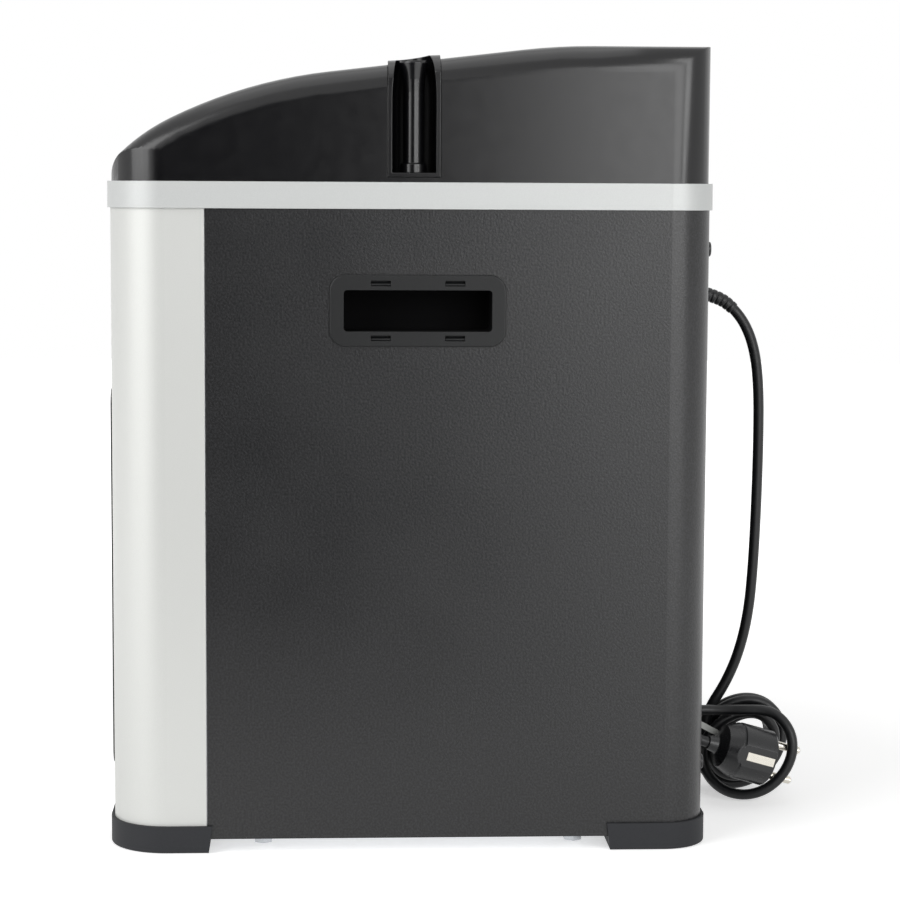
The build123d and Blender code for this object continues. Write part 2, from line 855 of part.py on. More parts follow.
def make_fan():
    end = fan_start + hub_h
    fan = rod_y(hub_r, fan_start, end, 0, fan_z)
    middle = (fan_start + end) / 2
    root = hub_r - blade_root
    length = fan_r - root + 2
    for k in range(blade_count):
        blade = Rot(blade_tilt, 0, 0) * Box(length, blade_t, blade_chord)
        blade = Pos(root + length / 2, 0, 0) * blade
        fan += Pos(0, middle, fan_z) * Rot(0, k * 360 / blade_count, 0) * blade
    fan &= rod_y(fan_r, fan_start - hub_h, end + hub_h, 0, fan_z)
    return fan - rod_y(shaft_r + snug, fan_start - 1, end + 1, 0, fan_z)


def make_shaft():
    return rod_y(shaft_r, fan_start + 1, motor_start + shaft_in, 0, fan_z)


def make_motor():
    motor = rod_y(motor_r, motor_start, motor_end, 0, fan_z)
    motor = fillet(motor.edges().filter_by(GeomType.CIRCLE), motor_round)
    return motor - rod_y(shaft_r + run_gap, motor_start - 1, motor_start + shaft_in + 1, 0, fan_z)


def make_motor_bracket():
    """Three arms from the motor's rear to the wall round the duct."""
    near, back = motor_end + snug, motor_end + arm_t
    far = duct_r + arm_out
    bracket = rod_y(motor_r * 0.7, near, back, 0, fan_z)
    for k in range(3):
        radial = block((0, near, -arm_w / 2), (far, back, arm_w / 2))
        leg = block((far - arm_t, wall_y + snug, -arm_w / 2), (far, back, arm_w / 2))
        bracket += Pos(0, 0, fan_z) * Rot(0, 90 + 120 * k, 0) * (radial + leg)
    return bracket


# Refrigeration

def mount_places():
    x, y = plate_w / 2 - mount_in, plate_l / 2 - mount_in
    return [(comp_x + sx * x, comp_y + sy * y) for sx in (-1, 1) for sy in (-1, 1)]


def make_compressor():
    top = comp_low + comp_h
    rim = comp_low + seam_rim_z
    can = post(comp_r, comp_low, top, comp_x, comp_y)
    can = fillet(can.edges().filter_by(GeomType.CIRCLE), comp_round)
    can += post(comp_r + seam_rim, rim, rim + seam_rim_t, comp_x, comp_y)
    plate = Pos(comp_x, comp_y, comp_low) * round_plate(plate_w, plate_l, plate_corner, plate_t)
    for x, y in mount_places():
        plate -= post(bolt_r + 2 * fit, comp_low - 1, comp_low + plate_t + 1, x, y)
    can += plate
    for x, y in (comp_socket(-1), comp_socket(1)):
        can += post(pipe_r + socket_wall, top - comp_round, top + socket_top, x, y)
    return can


def comp_socket(side):
    return comp_x + side * socket_side, comp_y - socket_front


def comp_socket_top():
    return comp_low + comp_h + socket_top


def make_compressor_mounts():
    low = pan_floor + snug
    top = low + mount_h - 2 * snug
    pads = []
    for x, y in mount_places():
        pads.append(post(mount_r, low, top, x, y) - post(bolt_r + fit, low - 1, top + 1, x, y))
    return Compound(pads)


def make_compressor_bolts():
    bolts = []
    plate_top = comp_low + plate_t
    for x, y in mount_places():
        bolt = post(bolt_head_r, pan_bottom - bolt_foot - snug, pan_bottom - snug, x, y)
        bolt += post(bolt_r, pan_bottom - bolt_foot, plate_top + bolt_head_h, x, y)
        bolt += Pos(x, y, plate_top + snug) * extrude(RegularPolygon(bolt_head_r, 6), bolt_head_h)
        bolts.append(bolt)
    return Compound(bolts)


def make_vessel():
    low = vessel_low + snug
    can = post(vessel_r, low, low + vessel_h, vessel_x, vessel_y)
    return fillet(can.edges().group_by(Axis.Z)[0], vessel_round)


def make_jacket():
    """Foam jacket, narrower at its foot, where the base bolts rise beside it."""
    low = pan_floor + snug
    top = vessel_low + vessel_h
    jacket = post(jacket_foot_r, low, low + jacket_foot_h, vessel_x, vessel_y)
    jacket += post(vessel_r + jacket_t, low + jacket_foot_h, top, vessel_x, vessel_y)
    return jacket - post(vessel_r + fit, vessel_low, top + 1, vessel_x, vessel_y)


def stub_place(side):
    return vessel_x + side * stub_spread, vessel_y - stub_front


def copper_place(side):
    return vessel_x + side * copper_spread, vessel_y + copper_back


def make_lid():
    bead = lid_top + stub_h - stub_bead_in
    lid = post(vessel_r + jacket_t - 1, lid_low, lid_top, vessel_x, vessel_y)
    for side in (-1, 1):
        x, y = stub_place(side)
        lid += post(stub_r, lid_top - 1, lid_top + stub_h, x, y)
        lid += post(stub_r + stub_bead, bead, bead + stub_bead_h, x, y)
        x, y = copper_place(side)
        lid += post(pipe_r + socket_wall, lid_top - 1, lid_top + copper_h, x, y)
    return lid


def make_probe():
    y = vessel_y - probe_front
    probe = post(probe_r, lid_top + snug, lid_top + probe_h, vessel_x, y)
    return probe + post(probe_tip_r, lid_top + probe_h, lid_top + probe_h + probe_tip_h, vessel_x, y)


def make_hose(side):
    """Water hose from a stub on the vessel's lid up to the spigot's barb."""
    x, y = stub_place(side)
    out_x = side * bay_x
    end = bay_floor - spigot_tail + hose_over
    level = end - hose_bend - 1
    route = [(x, y, lid_top + hose_grip), (x, y, level), (out_x, port_y, level), (out_x, port_y, end)]
    return tube(route, hose_r, hose_bend, barb_r + fit)


def pipe(route):
    return tube(route, pipe_r, pipe_bend)


def make_hot_pipe():
    """Compressor to the condenser's top tube."""
    x, y = comp_socket(-1)
    y1, z1 = tube_places()[-1]
    x1 = -coil_w / 2 - tube_out - snug
    rise = z1 + 3 * pipe_bend
    return pipe([(x, y, comp_socket_top() + snug), (x, y, rise), (-pipe_aside, y, rise),
                 (-pipe_aside, y1, rise), (-pipe_aside, y1, z1), (x1, y1, z1)])


def make_drier():
    can = post(drier_r, 0, drier_h)
    can = fillet(can.edges().filter_by(GeomType.CIRCLE), drier_round)
    can += post(pipe_r + socket_wall, -drier_end, drier_h + drier_end)
    return Pos(drier_place()) * can


def drier_place():
    low = tube_places()[0][1]
    return Vector(drier_aside - pipe_aside, wall_y + drier_back, low + drier_lift + drier_end)


def make_liquid_pipe():
    """Condenser's lowest tube to the filter drier."""
    y0, z0 = tube_places()[0]
    place = drier_place()
    start = -coil_w / 2 - tube_out - snug
    return pipe([(start, y0, z0), (-pipe_aside, y0, z0), (-pipe_aside, place.Y, z0),
                 (place.X, place.Y, z0), (place.X, place.Y, place.Z - drier_end - snug)])


def make_feed_pipe():
    """Filter drier up to the vessel's lid."""
    place = drier_place()
    x, y = copper_place(1)
    top = lid_top + copper_h + snug
    rise = top + pipe_rise
    start = place.Z + drier_h + drier_end + snug
    out_x = vessel_x + vessel_r
    return tube([(place.X, place.Y, start), (place.X, place.Y, rise), (out_x, place.Y, rise),
                 (out_x, y, rise), (x, y, rise), (x, y, top)], feed_r, pipe_bend)


def make_suction_pipe():
    """Vessel's lid back to the compressor."""
    x0, y0 = copper_place(-1)
    x1, y1 = comp_socket(1)
    top = lid_top + copper_h + snug
    rise = top + pipe_rise
    return pipe([(x0, y0, top), (x0, y0, rise), (x1, y0, rise), (x1, y1, rise),
                 (x1, y1, comp_socket_top() + snug)])


# Electrical parts

def make_electrical_box():
    y0 = wall_y + snug
    low = (box_x - box_w / 2, y0, box_z)
    high = (box_x + box_w / 2, y0 + box_d, box_z + box_h)
    box = block(low, high)
    inner_low = (low[0] + box_t, y0 + box_t, low[2] + box_t)
    return box - block(inner_low, (high[0] - box_t, high[1] + 1, high[2] - box_t))


def make_electrical_lid():
    y0 = wall_y + 2 * snug + box_d
    return block((box_x - box_w / 2, y0, box_z), (box_x + box_w / 2, y0 + box_t, box_z + box_h))


def make_control_board():
    y0 = wall_y + snug + box_t + snug
    x0, z0 = box_x - box_w / 2 + box_t + board_in, box_z + box_t + ctrl_low
    board = block((x0, y0, z0), (x0 + ctrl_w, y0 + ctrl_t, box_z + box_h - box_t - ctrl_low))
    x1, z1 = x0 + ctrl_low, z0 + relay_low
    return board + block((x1, y0, z1), (x1 + relay_w, y0 + relay_d, z1 + relay_h))


def make_terminal_block():
    y0 = wall_y + snug + box_t + snug
    x1, z0 = box_x + box_w / 2 - box_t - board_in, box_z + box_t + ctrl_low
    strip = block((x1 - strip_len, y0, z0), (x1, y0 + strip_d, z0 + strip_h))
    deep, front = y0 + strip_d - strip_hole_deep, y0 + strip_d + 1
    for k in (-1, 0, 1):
        x = x1 - strip_len / 2 + k * strip_hole_step
        strip -= rod_y(strip_hole_r, deep, front, x, z0 + strip_h / 2)
    return strip


# Rear

def rear_screw_places():
    return [(side * rear_screw_x, z) for side in (-1, 1) for z in rear_screw_z]


def make_rear_screws():
    screws = []
    for x, z in rear_screw_places():
        head = rod_y(screw_head_r, half_l + snug, half_l + screw_head_h, x, z)
        head = fillet(head.edges().sort_by(Axis.Y)[-1], 0.9)
        screws.append(head + rod_y(screw_r, half_l - screw_l, half_l + 1, x, z))
    return Compound(screws)


def gland_bush_r():
    return gland_flange_r - 2


def make_gland(lead):
    """Bush in the rear panel with a short tapered relief outside, which the lead's end meets."""
    place = Plane(origin=(0, half_l, gland_z), x_dir=(1, 0, 0), z_dir=(0, 1, 0))
    bush = gland_bush_r()
    wall = [(0, -12), (bush, -12), (bush, snug), (gland_flange_r, snug), (gland_flange_r, 2.2),
            (bush - 0.6, 2.8), (cord_r + 1.4, gland_end - 0.4), (cord_r + 1.0, gland_end), (0, gland_end)]
    return place * turned(wall) - lead


def make_base_bolts():
    bolts = []
    for x, y in base_bolt_places():
        top = pan_bottom - snug
        head = extrude(RegularPolygon(base_bolt_af / 2, 6, major_radius=False), base_bolt_head)
        bolt = Pos(x, y, top - washer_t - base_bolt_head) * head
        bolt += post(washer_r, top - washer_t, top, x, y)
        bolts.append(bolt + post(base_bolt_r, top - 1, pan_floor + base_bolt_up, x, y))
    return Compound(bolts)


# Mains cord

def corner_radii(route):
    """The largest arc that each corner's two runs allow."""
    radii = []
    for a, b, c in zip(route, route[1:], route[2:]):
        before, after = Vector(*b) - Vector(*a), Vector(*c) - Vector(*b)
        half_turn = math.radians(before.get_angle(after)) / 2
        radii.append(0.45 * min(before.length, after.length) / math.tan(half_turn))
    return radii


def make_cord(name, route):
    radii = corner_radii(route)
    solid = tube(route, cord_r, radii)
    path = FilletPolyline(*route, radius=radii)
    print(name, "radii", [round(r, 1) for r in radii], "length", round(path.length, 1),
          "volume share", round(solid.volume / (math.pi * cord_r ** 2 * path.length), 4))
    return solid


def coil_slice(long_axis, short_axis):
    return Plane.YZ * Pos(coil_y, coil_z) * Rot(0, 0, coil_lean) * Ellipse(long_axis, short_axis)


def make_coil(tubes):
    """Outer shape of the loose coil, which stands on its turns with the plug before its hole.

    Its nearest turn swings out and passes under the plug and in front of the pins.
    """
    section = coil_slice(coil_long, coil_short) - coil_slice(coil_hole_long, coil_hole_short)
    coil = Pos(coil_far, 0, 0) * extrude(section, coil_near - coil_far)
    loop = coil_slice(coil_long, coil_short) - coil_slice(coil_long - loop_t, coil_short - loop_t)
    loop = Pos(coil_near - 1, 0, 0) * extrude(loop, loop_near - coil_near + 1)
    coil += loop & block((coil_far, loop_start, 0), (loop_near, 2 * coil_y, 2 * coil_y))
    for side in (-1, 1):
        pin = Pos(side * pin_step / 2, 0, pin_l) * Cylinder(pin_r + pin_room, 2 * pin_l)
        coil -= plug_place() * pin
    for piece in tubes:
        coil -= piece
    return coil


def make_tie():
    """Flat wire tie round the coil's turns."""
    half = (coil_near - coil_far) / 2 + snug
    mid_x = (coil_near + coil_far) / 2
    angle = math.radians(tie_angle)
    centre = Plane(origin=(mid_x, coil_y, coil_z), x_dir=(0, math.cos(angle), math.sin(angle)),
                   z_dir=(1, 0, 0))
    middle, reach = (tie_inner + tie_outer) / 2, (tie_outer - tie_inner) / 2
    band = centre * Pos(middle, 0, 0) * Box(2 * (reach + tie_t), tie_w, 2 * (half + tie_t))
    return band - centre * Pos(middle, 0, 0) * Box(2 * reach, tie_w + 1, 2 * half)


def plug_place():
    """Plane on the plug's face, local Z along the pins, local X from one pin to the other."""
    yaw, dip = math.radians(plug_yaw), math.radians(plug_dip)
    along = (-math.sin(yaw) * math.cos(dip), math.cos(yaw) * math.cos(dip), -math.sin(dip))
    up = (-math.sin(yaw) * math.sin(dip), math.cos(yaw) * math.sin(dip), math.cos(dip))
    return Plane(origin=plug_face, x_dir=up, z_dir=along)


def make_plug(lead):
    place = plug_place()
    cap_end = -plug_front - plug_cap
    wall = [(0, 0), (plug_r - 1.2, 0), (plug_r, -1.2), (plug_r, -plug_front + 1),
            (plug_r - 0.8, -plug_front), (plug_r - 0.4, -plug_front - 1),
            (plug_r - 4.0, cap_end + 3), (neck_r + 0.6, cap_end),
            (neck_r, cap_end - 0.5), (cord_r + 1.0, cap_end - neck_h), (0, cap_end - neck_h)]
    body = turned(wall) & Box(3 * plug_r, 2 * plug_flat, 6 * plug_r)
    for side in (-1, 1):
        body -= Pos(side * pin_step / 2, 0, 0) * Cylinder(pin_r + snug, 16)
        seat = Pos(0, side * (plug_flat - clip_t / 2 + 0.5), -plug_front / 2 + 1)
        body -= seat * Box(clip_w + 0.2, clip_t + 1 + snug, plug_front - 4)
    body -= Pos(0, 4.5, 0) * Cylinder(2.6, 24)
    return place * body - lead


def make_pins():
    pins = []
    for side in (-1, 1):
        pin = Pos(side * pin_step / 2, 0, (pin_l - 8) / 2) * Cylinder(pin_r, pin_l + 8)
        pins.append(plug_place() * chamfer(pin.edges().sort_by(Axis.Z)[-1], 1.1))
    return Compound(pins)


def make_clips():
    clips = []
    for side in (-1, 1):
        seat = Pos(0, side * (plug_flat - clip_t / 2), -plug_front / 2 + 1)
        clips.append(plug_place() * seat * Box(clip_w, clip_t, plug_front - 4.2))
    return Compound(clips)


def build():
    cord_tube = make_cord("cord_tube", cord_route)
    cord_tail = make_cord("cord_tail", tail_route)
    coil = make_coil([cord_tube, cord_tail])
    pieces = {
        "base_pan": make_base_pan(),
        "foot_front_left": make_foot(-1, -1),
        "foot_front_right": make_foot(1, -1),
        "foot_rear_left": make_foot(-1, 1),
        "foot_rear_right": make_foot(1, 1),
        "base_screws": Compound([make_foot_screws(), make_base_bolts()]),
        "front_panel": make_front_panel(),
        "wrap_panel": make_wrap_panel(),
        "seam_strips": Compound([make_seam_strip(-1), make_seam_strip(1)]),
        "top_band": make_band(),
        "top_cover": make_cover(),
        "hose_bay_left": make_bay(-1),
        "hose_bay_right": make_bay(1),
        "hose_spigot_left": make_spigot(-1),
        "hose_spigot_right": make_spigot(1),
        "spigot_nuts": make_port_nuts(),
        "side_grip_left": make_grip(-1),
        "side_grip_right": make_grip(1),
        "intake_grille": make_grille(),
        "dust_filter": make_filter(),
        "control_plate": make_desk(),
        "display_window": make_window(),
        "display_board": make_board(),
        "key_power": make_key(key_x[0]),
        "key_down": make_key(key_x[1]),
        "key_up": make_key(key_x[2]),
        "condenser_fins": make_fins(),
        "condenser_tube": make_condenser_tube(),
        "fan_wall": make_fan_wall(),
        "fan_blades": make_fan(),
        "fan_shaft": make_shaft(),
        "fan_motor": make_motor(),
        "motor_bracket": make_motor_bracket(),
        "compressor": make_compressor(),
        "compressor_mounts": make_compressor_mounts(),
        "compressor_bolts": make_compressor_bolts(),
        "water_vessel": make_vessel(),
        "vessel_jacket": make_jacket(),
        "vessel_lid": make_lid(),
        "temperature_probe": make_probe(),
        "hose_left": make_hose(-1),
        "hose_right": make_hose(1),
        "hot_gas_pipe": make_hot_pipe(),
        "filter_drier": make_drier(),
        "liquid_pipe": make_liquid_pipe(),
        "feed_pipe": make_feed_pipe(),
        "suction_pipe": make_suction_pipe(),
        "electrical_box": make_electrical_box(),
        "electrical_lid": make_electrical_lid(),
        "control_board": make_control_board(),
        "terminal_block": make_terminal_block(),
        "rear_screws": make_rear_screws(),
        "cord_gland": make_gland(cord_tube),
        "cord_tube": cord_tube,
        "cord_tail": cord_tail,
        "cord_coil": coil,
        "cord_tie": make_tie(),
        "plug_body": make_plug(cord_tail),
        "plug_pins": make_pins(),
        "plug_earth_clips": make_clips(),
    }
    os.makedirs("parts", exist_ok=True)
    for name, shape in pieces.items():
        export_step(shape, f"parts/{name}.step")


build()
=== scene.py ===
import json
import math

import bmesh
import bpy
from mathutils import Matrix, Vector


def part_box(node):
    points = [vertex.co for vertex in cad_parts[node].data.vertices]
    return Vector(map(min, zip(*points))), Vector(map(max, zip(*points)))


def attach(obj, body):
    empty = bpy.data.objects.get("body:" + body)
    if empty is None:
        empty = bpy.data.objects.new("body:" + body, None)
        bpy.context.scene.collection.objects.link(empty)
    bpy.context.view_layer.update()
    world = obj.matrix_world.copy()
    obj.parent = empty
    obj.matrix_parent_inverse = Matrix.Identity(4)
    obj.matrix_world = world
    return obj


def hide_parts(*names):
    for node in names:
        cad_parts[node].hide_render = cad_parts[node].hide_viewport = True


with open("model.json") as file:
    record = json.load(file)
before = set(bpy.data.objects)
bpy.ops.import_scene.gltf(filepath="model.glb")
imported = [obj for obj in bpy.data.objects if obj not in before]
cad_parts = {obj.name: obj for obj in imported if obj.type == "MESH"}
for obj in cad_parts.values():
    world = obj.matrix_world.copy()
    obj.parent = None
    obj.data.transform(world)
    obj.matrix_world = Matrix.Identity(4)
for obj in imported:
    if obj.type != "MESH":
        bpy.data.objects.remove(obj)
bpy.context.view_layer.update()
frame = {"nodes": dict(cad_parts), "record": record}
nodes = frame["nodes"]

MM = 0.001

# Camera, as the photograph was taken
camera_place = Vector((1.520, -0.05405, 0.3728))
camera_turn = 0.0537      # radians to the rear of the side's normal
camera_dip = 0.1036       # radians below level
camera_roll = 0.0054
camera_lens = 101.66      # mm on a sensor of 36 mm

# Mains cord, millimetres
cord_r = 3.2
cord_route = [
    (0.0, 174.5, 310.3), (0.0, 187.0, 308.0), (0.4, 197.5, 301.2), (0.8, 206.3, 289.5),
    (0.8, 211.8, 273.0), (0.2, 214.3, 251.0), (-1.2, 214.9, 220.0), (-3.2, 214.7, 183.0),
    (-5.6, 213.9, 146.0), (-8.4, 212.1, 114.5), (-11.6, 207.3, 89.0), (-14.6, 199.6, 68.5),
    (-16.6, 189.4, 51.6),
]
tail_route = [
    (18.6, 183.7, 38.7), (19.7, 177.1, 40.7), (17.2, 172.4, 45.4), (12.2, 171.6, 50.2),
    (6.0, 173.0, 53.2), (0.8, 178.2, 54.5), (-1.2, 186.0, 54.4), (-0.9, 193.0, 54.3),
    (0.2, 200.4, 54.4), (2.0, 207.6, 54.9),
]
cord_sides = 5                          # segments that round a quarter of the cord

# Coil of the cord, millimetres and degrees
coil_y, coil_z = 210.5, 30.2
coil_long, coil_short = 28.8, 23.8      # half axes of the outer layer's centreline
coil_lean = 45.0
coil_start = 157.5                      # angle at which the lead comes down into the coil
layer_step = 6.9                        # from the outer layer to the inner one
turn_points = 16
coil_first, coil_far, coil_near = -17.0, -34.6, -7.4    # x at the ends of the layers
outer_points, inner_points = 42, 58     # points along each layer
inward_points, outward_points = 8, 6    # points on the way from layer to layer
sway, sway_step = 0.5, 0.9              # uneven lay of the outer turns
last_turn = [-4.0, 1.5, 7.0, 11.5, 14.2, 14.9, 14.9, 14.7, 13.2, 9.5, 5.0]    # x along the wide turn

# Strain relief on the lead, millimetres
relief_l = 26.0
relief_first_r, relief_last_r = 4.5, 3.75
relief_step = 0.4                       # between two rings of its skin
groove_depth, groove_pitch, groove_share = 0.45, 3.2, 0.35
plain_first, plain_last = 2.5, 2.0      # ends without grooves
rounded_l, rounded_slope = 0.8, 0.3     # its far end

# Side grips: snap slots round the pocket, from the grip's middle, millimetres
snap_y, snap_z = 20.5, 15.1
snap_l = 10.6
pocket_behind = 0.4       # from the side panel's face to where the pocket's painted shade begins
tongue_section = [        # outwards from the bezel's face, and up from the slot's middle
    (-3.2, -1.8), (-2.2, -1.8), (-2.0, -1.3), (-0.4, -1.1),
    (-0.3, -0.2), (-1.9, 0.7), (-2.2, 1.8), (-3.2, 1.8),
]

# Hose bays, millimetres
bay_half = 12.2           # half the mouth's width
bay_slack = 0.1           # keeps the mouth's own walls inside that half
shoulder_from = 417.0     # height at which the mouth starts to narrow
shoulder_in = 4.2         # narrowing on each side at the top
shoulder_cuts = 20        # levels that round the shoulders
cut_slack = 0.001

# Display and keys, millimetres
desk_slope = 20.0         # degrees
key_x = {"power": 27.0, "down": 39.5, "up": 52.0}
key_proud = 0.8           # keys over the window
digit_h, digit_w, digit_t, digit_step = 14.0, 7.6, 1.5, 13.0
segment_gap = 0.4         # between two segments of a figure
point_r, point_up = 0.8, 0.7              # decimal point, and its middle over the figures' foot
print_t = 0.06            # thickness of print and lit segments
ring_r, ring_inner_r = 1.5, 1.15          # power sign
ring_open = (120, 420)                    # degrees, open at the top
stem_half, stem_low, stem_top = 0.18, 0.2, 1.9
arrow_half, arrow_tip, arrow_foot = 1.5, 1.5, 0.8

# Shading of the copies
crease = 35               # degrees: edges sharper than this stay sharp
weld_gap = 0.002          # millimetres
edge_samples = 6          # of a finish's rounded edges

# Floor and room, metres
floor_r = 4.0
floor_drop = 0.0002       # under the feet
lift_from, lift_to = 0.35, 1.1          # where the board fades into the page's white
lift_near = 0.5           # share of that white close to the object
room_light = 0.35
curtain_x, curtain_y, curtain_top = 2.6, (-1.3, 0.25), 1.4
mat_x, mat_y, mat_z = 0.6, (-0.6, 0.12), 0.004          # its near end on the floor


def linear(code):
    """sRGB hex to linear colour."""
    parts = [int(code[k:k + 2], 16) / 255 for k in (1, 3, 5)]
    return [c / 12.92 if c <= 0.04045 else ((c + 0.055) / 1.055) ** 2.4 for c in parts] + [1.0]


def set_camera():
    ahead = Vector((-math.cos(camera_dip) * math.cos(camera_turn),
                    math.cos(camera_dip) * math.sin(camera_turn), -math.sin(camera_dip)))
    level = ahead.cross(Vector((0, 0, 1))).normalized()
    above = level.cross(ahead)
    right = math.cos(camera_roll) * level + math.sin(camera_roll) * above
    up = -math.sin(camera_roll) * level + math.cos(camera_roll) * above
    data = bpy.data.cameras.new("camera")
    data.sensor_width = 36.0
    data.lens = camera_lens
    data.clip_end = 20
    camera = bpy.data.objects.new("camera", data)
    bpy.context.scene.collection.objects.link(camera)
    turn = Matrix((right, up, -ahead)).transposed().to_4x4()
    camera.matrix_world = Matrix.Translation(camera_place) @ turn
    bpy.context.scene.camera = camera


# Cord

def ring_point(x, angle, layer):
    """A point of the coil at one angle of its leaning oval, on a layer from 0, outside, to 1."""
    turn = math.radians(angle - coil_lean)
    along = (coil_long - layer * layer_step) * math.cos(turn)
    across = (coil_short - layer * layer_step) * math.sin(turn)
    lean = math.radians(coil_lean)
    return (x, coil_y + along * math.cos(lean) - across * math.sin(lean),
            coil_z + along * math.sin(lean) + across * math.cos(lean))


def coil_points():
    """Outer layer to the far side, inner layer back, then one wide turn before the plug's pins."""
    turns = []
    for k in range(outer_points):
        x = coil_first + (coil_far - coil_first) * k / outer_points
        turns.append((x, sway * math.sin(k * sway_step), 0))
    for k in range(inward_points):
        turns.append((coil_far, 0, (k + 1) / inward_points))
    for k in range(inner_points):
        turns.append((coil_far + (coil_near - coil_far) * k / inner_points, 0, 1))
    for k in range(outward_points):
        turns.append((coil_near, 0, 1 - (k + 1) / outward_points))
    for x in last_turn:
        turns.append((x, 0, 0))
    step = 360 / turn_points
    return [ring_point(x, coil_start + k * step + aside, layer) for k, (x, aside, layer) in enumerate(turns)]


def add_cord():
    points = cord_route + coil_points() + tail_route[::-1]
    data = bpy.data.curves.new("mains_cord", "CURVE")
    data.dimensions = "3D"
    data.resolution_u = 6
    spline = data.splines.new("NURBS")
    spline.points.add(len(points) - 1)
    for point, (x, y, z) in zip(spline.points, points):
        point.co = (x * MM, y * MM, z * MM, 1)
        point.radius = cord_r * MM
    spline.order_u = 3
    spline.use_endpoint_u = True
    cord = bpy.data.objects.new("mains_cord", data)
    bpy.context.scene.collection.objects.link(cord)
    mesh = bpy.data.meshes.new_from_object(cord)
    line = [v.co.copy() for v in mesh.vertices]
    bpy.data.meshes.remove(mesh)
    data.bevel_depth = 1.0      # times each point's radius
    data.bevel_resolution = cord_sides
    data.use_fill_caps = True
    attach(cord, "casing")
    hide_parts("cord_tube", "cord_tail", "cord_coil")
    return cord, line


def link_mesh(name, mesh_data, smooth=True):
    mesh = bpy.data.meshes.new(name)
    mesh_data.to_mesh(mesh)
    mesh_data.free()
    for face in mesh.polygons:
        face.use_smooth = smooth
    piece = bpy.data.objects.new(name, mesh)
    bpy.context.scene.collection.objects.link(piece)
    return piece


def sleeve(name, stations, sides=32):
    """A closed skin round a line, from centre, direction and radius at each station."""
    skin = bmesh.new()
    rings = []
    for centre, ahead, radius in stations:
        side = ahead.cross(Vector((1, 0, 0.01))).normalized()    # the line never runs along this
        other = ahead.cross(side)
        ring = []
        for k in range(sides):
            turn = 2 * math.pi * k / sides
            ring.append(skin.verts.new(centre + radius * (math.cos(turn) * side + math.sin(turn) * other)))
        rings.append(ring)
    for a, b in zip(rings, rings[1:]):
        for k in range(sides):
            skin.faces.new((a[k], a[(k + 1) % sides], b[(k + 1) % sides], b[k]))
    skin.faces.new(rings[0][::-1])
    skin.faces.new(rings[-1])
    bmesh.ops.recalc_face_normals(skin, faces=skin.faces)
    return link_mesh(name, skin)


def relief_radius(along):
    """Radius at a distance along the strain relief, both in millimetres."""
    radius = relief_first_r + (relief_last_r - relief_first_r) * along / relief_l
    phase = (along % groove_pitch) / groove_pitch
    if plain_first < along < relief_l - plain_last and phase < groove_share:
        radius -= groove_depth * math.sin(math.pi * phase / groove_share)
    if along > relief_l - rounded_l:
        radius -= rounded_slope * (along - relief_l + rounded_l)
    return radius


def add_relief(line):
    """Tapered, grooved strain relief on the lead where it leaves the gland."""
    stations = []
    walked = 0.0
    for a, b in zip(line, line[1:]):
        run = (b - a).length / MM
        count = max(1, int(run / relief_step))
        for k in range(count):
            along = walked + run * k / count
            if along > relief_l:
                break
            stations.append((a.lerp(b, k / count), (b - a).normalized(), relief_radius(along) * MM))
        walked += run
        if walked > relief_l:
            break
    relief = sleeve("cord_relief", stations)
    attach(relief, "casing")
    return relief


# Materials

def add(tree, kind, links=None, **settings):
    """Adds a node, sets its properties and sockets, and links sockets to other nodes' outputs."""
    node = tree.nodes.new(kind)
    for name, value in settings.items():
        if name in node.inputs:
            node.inputs[name].default_value = value
        else:
            setattr(node, name, value)
    for socket, source in (links or {}).items():
        tree.links.new(source, node.inputs[socket])
    return node


def new_material(name, color, roughness, metallic=0.0, **extra):
    """A principled finish. Returns the material, its node tree and its shader."""
    material = bpy.data.materials.new(name)
    material.use_nodes = True
    tree = material.node_tree
    shader = tree.nodes["Principled BSDF"]
    shader.inputs["Base Color"].default_value = linear(color)
    shader.inputs["Roughness"].default_value = roughness
    shader.inputs["Metallic"].default_value = metallic
    for socket, value in extra.items():
        shader.inputs[socket.replace("_", " ")].default_value = value
    return material, tree, shader


def grain(tree, size_mm, detail=2.0):
    """Noise with grains of a given size, in the object's own metres. Flakes, spark pits and blasted
    grain are 0.05 to 0.2 mm on the real pieces: they are drawn at 0.5 to 1.2 mm, or they wouldn't show."""
    place = add(tree, "ShaderNodeTexCoord")
    return add(tree, "ShaderNodeTexNoise", {"Vector": place.outputs["Object"]},
               Scale=1000.0 / size_mm, Detail=detail)


def bumped(tree, shader, height, depth_mm, strength, edge_mm=0.0):
    """Bump from a height, over edges that look rounded by edge_mm."""
    bump = add(tree, "ShaderNodeBump", {"Height": height}, Strength=strength, Distance=depth_mm * MM)
    if edge_mm:
        edge = add(tree, "ShaderNodeBevel", samples=edge_samples, Radius=edge_mm * MM)
        tree.links.new(edge.outputs["Normal"], bump.inputs["Normal"])
    tree.links.new(bump.outputs["Normal"], shader.inputs["Normal"])


def varied(tree, shader, socket, source, low, high):
    """Drives a socket between two values by a noise, which mostly lies between 0.3 and 0.7."""
    ramp = add(tree, "ShaderNodeMapRange", {"Value": source},
               **{"From Min": 0.3, "From Max": 0.7, "To Min": low, "To Max": high})
    tree.links.new(ramp.outputs["Result"], shader.inputs[socket])


def tinted(tree, shader, source, dark, light):
    """Drives the base colour between two colours by a noise."""
    mix = add(tree, "ShaderNodeMix", {"Factor": source}, data_type="RGBA")
    colors = [s for s in mix.inputs if s.type == "RGBA"]
    colors[0].default_value = linear(dark)
    colors[1].default_value = linear(light)
    result = [s for s in mix.outputs if s.type == "RGBA"][0]
    tree.links.new(result, shader.inputs["Base Color"])


